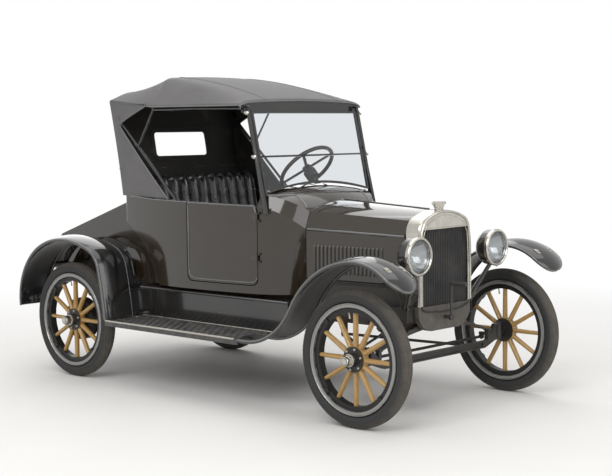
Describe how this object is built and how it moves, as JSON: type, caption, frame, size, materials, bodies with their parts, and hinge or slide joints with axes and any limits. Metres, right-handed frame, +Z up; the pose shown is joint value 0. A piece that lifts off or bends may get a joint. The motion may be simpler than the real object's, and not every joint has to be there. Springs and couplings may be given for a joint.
{
  "type": "1920s two-seat runabout with folding top",
  "caption": "Small open car with wooden-spoke wheels, sweeping fenders, running boards, an upright radiator, a folded-up fabric top and a sloping luggage deck.",
  "frame": {"origin": "on the ground, midway along the car's length and width", "axes": "+X forward, +Y to the car's left, +Z up"},
  "size_m": [3.4993, 1.66, 2.017],
  "materials": {
    "tyre_rubber": "matte with worn tread",
    "spoke_wood": "varnished",
    "wheel_metal": "zinc grey rim, black felloe and hub",
    "chassis_paint": "satin",
    "bare_iron": "dull",
    "spring_steel": "dull",
    "body_paint": "gloss",
    "fender_paint": "gloss",
    "bright_metal": "polished nickel",
    "core_paint": "matte, finned",
    "lens_glass": "clear",
    "window_glass": "clear",
    "top_cloth": "coated cloth",
    "seat_leather": "pleated",
    "rim_wood": "dark varnish",
    "floor_wood": "worn",
    "exhaust_iron": "rusty"
  },
  "bodies": {
    "chassis": {"frame": "chassis_paint", "engine": "bare_iron", "front_axle": "chassis_paint", "springs": "spring_steel", "rear_axle": "chassis_paint", "driver_controls": "chassis_paint", "exhaust": "exhaust_iron", "body_tub": "body_paint", "cowl": "body_paint", "floor_boards": "floor_wood", "turtle_deck": "body_paint", "radiator_shell": "bright_metal", "radiator_core": "core_paint", "hood_hinge": "bright_metal", "windshield_frame": "fender_paint", "windshield_glass": "window_glass", "headlamps": "fender_paint", "headlamp_rims": "bright_metal", "headlamp_lenses": "lens_glass", "running_boards": "fender_paint", "splash_aprons": "fender_paint", "front_fenders": "fender_paint", "rear_fenders": "fender_paint", "seat_cushion": "seat_leather", "seat_back": "seat_leather", "top_cover": "top_cloth", "top_bows": "fender_paint"},
    "wheel_front_right": {"tyre_front_right": "tyre_rubber", "spokes_front_right": "spoke_wood", "rim_hub_front_right": "wheel_metal"},
    "wheel_front_left": {"tyre_front_left": "tyre_rubber", "spokes_front_left": "spoke_wood", "rim_hub_front_left": "wheel_metal"},
    "wheel_rear_right": {"tyre_rear_right": "tyre_rubber", "spokes_rear_right": "spoke_wood", "rim_hub_rear_right": "wheel_metal"},
    "wheel_rear_left": {"tyre_rear_left": "tyre_rubber", "spokes_rear_left": "spoke_wood", "rim_hub_rear_left": "wheel_metal"},
    "right_knuckle": {"knuckle_right": "chassis_paint"},
    "left_knuckle": {"knuckle_left": "chassis_paint"},
    "tie_link": {"tie_rod": "chassis_paint"},
    "drag": {"drag_link": "chassis_paint"},
    "shaft": {"steering_shaft": "spring_steel"},
    "hand_wheel": {"steering_wheel": "rim_wood"},
    "right_door": {"door_right": "body_paint"},
    "left_door": {"door_left": "body_paint"},
    "hood_right_top": {"hood_top_right": "body_paint"},
    "hood_left_top": {"hood_top_left": "body_paint"},
    "hood_right_side": {"hood_side_right": "body_paint"},
    "hood_left_side": {"hood_side_left": "body_paint"},
    "lid": {"deck_lid": "body_paint"},
    "crank_handle": {"crank": "spring_steel"}
  },
  "joints": [
    {"name": "steering", "type": "hinge", "parent": "chassis", "child": "right_knuckle", "pos_m": [1.346, -0.636, 0.3875], "axis": [0, 0, 1], "range_deg": [-35, 35]},
    {"name": "steer_left", "type": "hinge", "parent": "chassis", "child": "left_knuckle", "pos_m": [1.346, 0.636, 0.3875], "axis": [0, 0, 1], "range_deg": [-35, 35]},
    {"name": "tie_rod_turn", "type": "hinge", "parent": "right_knuckle", "child": "tie_link", "pos_m": [1.216, -0.636, 0.3395], "axis": [0, 0, 1], "range_deg": [-35, 35]},
    {"name": "drag_link_turn", "type": "hinge", "parent": "right_knuckle", "child": "drag", "pos_m": [1.216, -0.636, 0.3805], "axis": [0, 0, 1], "range_deg": [-35, 35]},
    {"name": "steering_shaft_turn", "type": "hinge", "parent": "chassis", "child": "shaft", "pos_m": [0.076, 0.245, 1.4], "axis": [-0.7071, 0, 0.7071], "range_deg": [-35, 35]},
    {"name": "steering_wheel_turn", "type": "hinge", "parent": "chassis", "child": "hand_wheel", "pos_m": [0.076, 0.245, 1.4], "axis": [-0.7071, 0, 0.7071], "range_deg": [-140, 140]},
    {"name": "wheel_front_right_roll", "type": "hinge", "parent": "right_knuckle", "child": "wheel_front_right", "pos_m": [1.346, -0.711, 0.3875], "axis": [0, 1, 0], "continuous": true},
    {"name": "wheel_front_left_roll", "type": "hinge", "parent": "left_knuckle", "child": "wheel_front_left", "pos_m": [1.346, 0.711, 0.3875], "axis": [0, 1, 0], "continuous": true},
    {"name": "wheel_rear_right_roll", "type": "hinge", "parent": "chassis", "child": "wheel_rear_right", "pos_m": [-1.194, -0.711, 0.3875], "axis": [0, 1, 0], "continuous": true},
    {"name": "wheel_rear_left_roll", "type": "hinge", "parent": "chassis", "child": "wheel_rear_left", "pos_m": [-1.194, 0.711, 0.3875], "axis": [0, 1, 0], "continuous": true},
    {"name": "door_right_open", "type": "hinge", "parent": "chassis", "child": "right_door", "pos_m": [0.372, -0.52, 1], "axis": [0, 0, 1], "range_deg": [0, 70]},
    {"name": "door_left_open", "type": "hinge", "parent": "chassis", "child": "left_door", "pos_m": [0.372, 0.52, 1], "axis": [0, 0, -1], "range_deg": [0, 70]},
    {"name": "hood_top_right_open", "type": "hinge", "parent": "chassis", "child": "hood_right_top", "pos_m": [0.966, 0, 1.201], "axis": [-0.9985, 0, 0.0555], "range_deg": [0, 70]},
    {"name": "hood_top_left_open", "type": "hinge", "parent": "chassis", "child": "hood_left_top", "pos_m": [0.966, 0, 1.201], "axis": [0.9985, 0, -0.0555], "range_deg": [0, 70]},
    {"name": "hood_side_right_open", "type": "hinge", "parent": "hood_right_top", "child": "hood_right_side", "pos_m": [0.966, -0.2875, 1.0465], "axis": [-0.993, -0.1145, 0.029], "range_deg": [0, 120]},
    {"name": "hood_side_left_open", "type": "hinge", "parent": "hood_left_top", "child": "hood_left_side", "pos_m": [0.966, 0.2875, 1.0465], "axis": [0.993, -0.1145, -0.029], "range_deg": [0, 120]},
    {"name": "deck_lid_open", "type": "hinge", "parent": "chassis", "child": "lid", "pos_m": [-0.9265, 0, 1.18639], "axis": [0, 1, 0], "range_deg": [0, 60]},
    {"name": "crank_turn", "type": "hinge", "parent": "chassis", "child": "crank_handle", "pos_m": [1.406, 0, 0.555], "axis": [1, 0, 0], "continuous": true}
  ],
  "couplings": [
    {"joint": "steer_left", "follows": "steering", "ratio": 1},
    {"joint": "tie_rod_turn", "follows": "steering", "ratio": -1},
    {"joint": "drag_link_turn", "follows": "steering", "ratio": -1},
    {"joint": "steering_shaft_turn", "follows": "steering", "ratio": 1},
    {"joint": "steering_wheel_turn", "follows": "steering", "ratio": 4}
  ]
}
